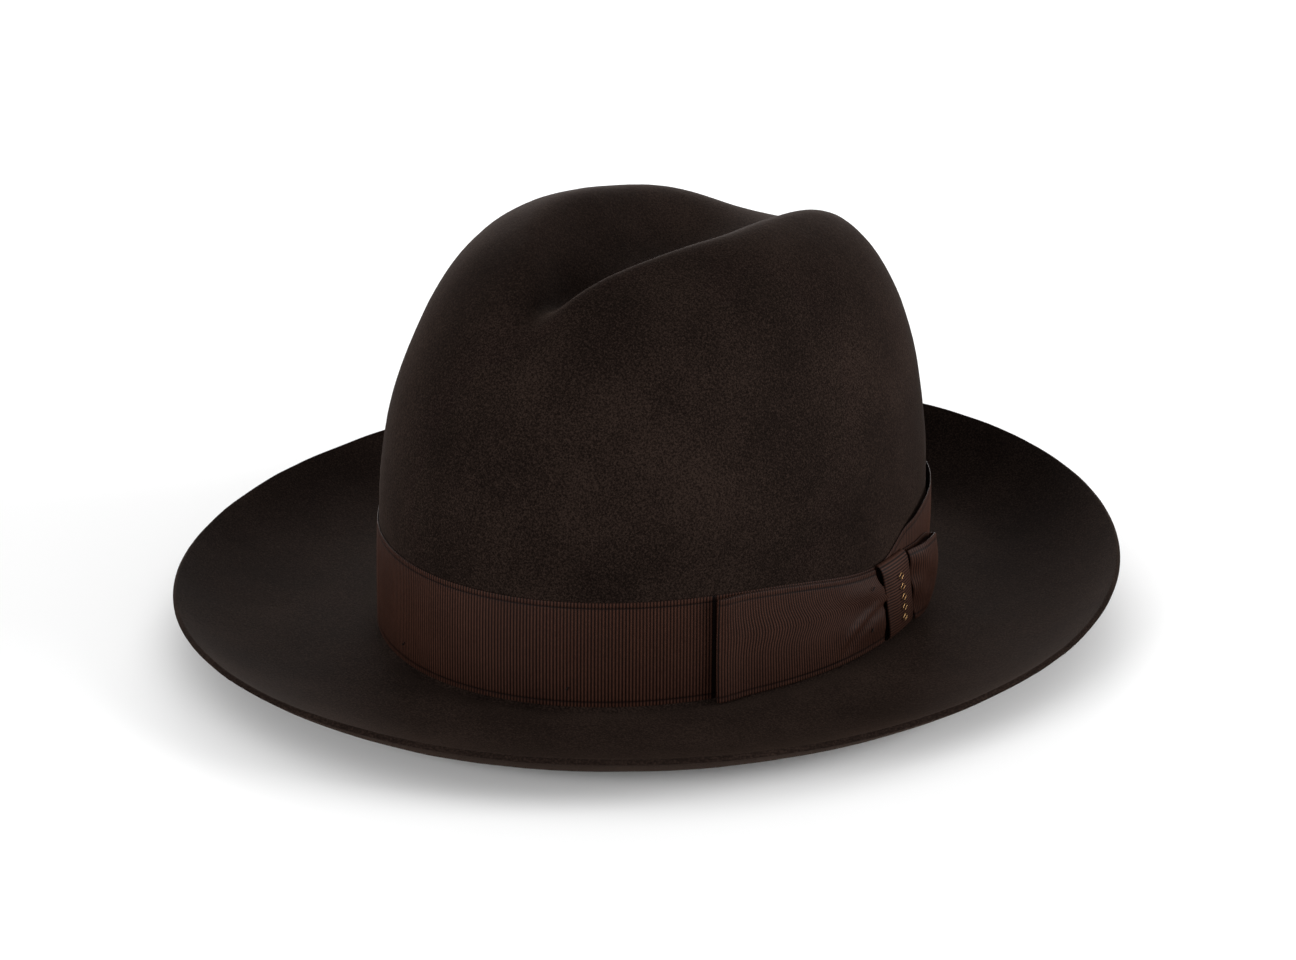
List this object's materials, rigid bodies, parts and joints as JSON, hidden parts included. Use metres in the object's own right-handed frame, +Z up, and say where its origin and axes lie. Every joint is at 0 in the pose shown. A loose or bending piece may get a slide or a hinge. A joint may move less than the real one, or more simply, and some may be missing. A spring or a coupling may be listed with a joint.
{
  "type": "creased felt fedora hat",
  "caption": "Dark brown felt fedora with a creased crown, a medium brim curled at its edge, a ribbed ribbon with a flat side bow, a leather sweatband and a satin lining.",
  "frame": {"origin": "centre of the head opening, in the plane of the break, where the crown meets the brim", "axes": "+Z up through the crown, -Y the front of the hat, +X the wearer's left, the side with the bow"},
  "size_m": [0.3096, 0.3399, 0.1383],
  "materials": {
    "felt": "short brushed fur felt with a soft nap",
    "ribbon": "grosgrain, fine upright ribs, faint sheen",
    "ribbon_thread": "matt sewing thread",
    "metal_thread": "thin metallic thread",
    "sweatband_leather": "smooth roan leather, satin",
    "reed": "thin plastic reed in a sewn fold",
    "tape": "woven cotton tape",
    "sweatband_thread": "waxed thread",
    "trim_ribbon": "narrow satin ribbon",
    "tag": "plain woven tag, no lettering",
    "lining": "satin lining, soft sheen",
    "piping": "satin-covered cord",
    "clear_film": "clear protective film",
    "lining_thread": "matt sewing thread"
  },
  "bodies": {
    "root": {"felt_body": "felt", "hatband_ribbon": "ribbon", "hatband_tacks": "ribbon_thread", "bow_front_wing": "ribbon", "bow_rear_wing": "ribbon", "bow_knot": "ribbon", "bow_tacks": "ribbon_thread", "knot_thread": "metal_thread", "sweatband_leather": "sweatband_leather", "sweatband_reed": "reed", "sweatband_tape": "tape", "sweatband_stitching": "sweatband_thread", "sweatband_back_seam": "sweatband_thread", "sweatband_bow_loops": "trim_ribbon", "sweatband_bow_knot": "trim_ribbon", "size_tag": "tag", "lining_side_panel": "lining", "lining_tip": "lining", "lining_piping": "piping", "tip_shield": "clear_film", "tip_shield_stitches": "lining_thread"}
  },
  "joints": []
}
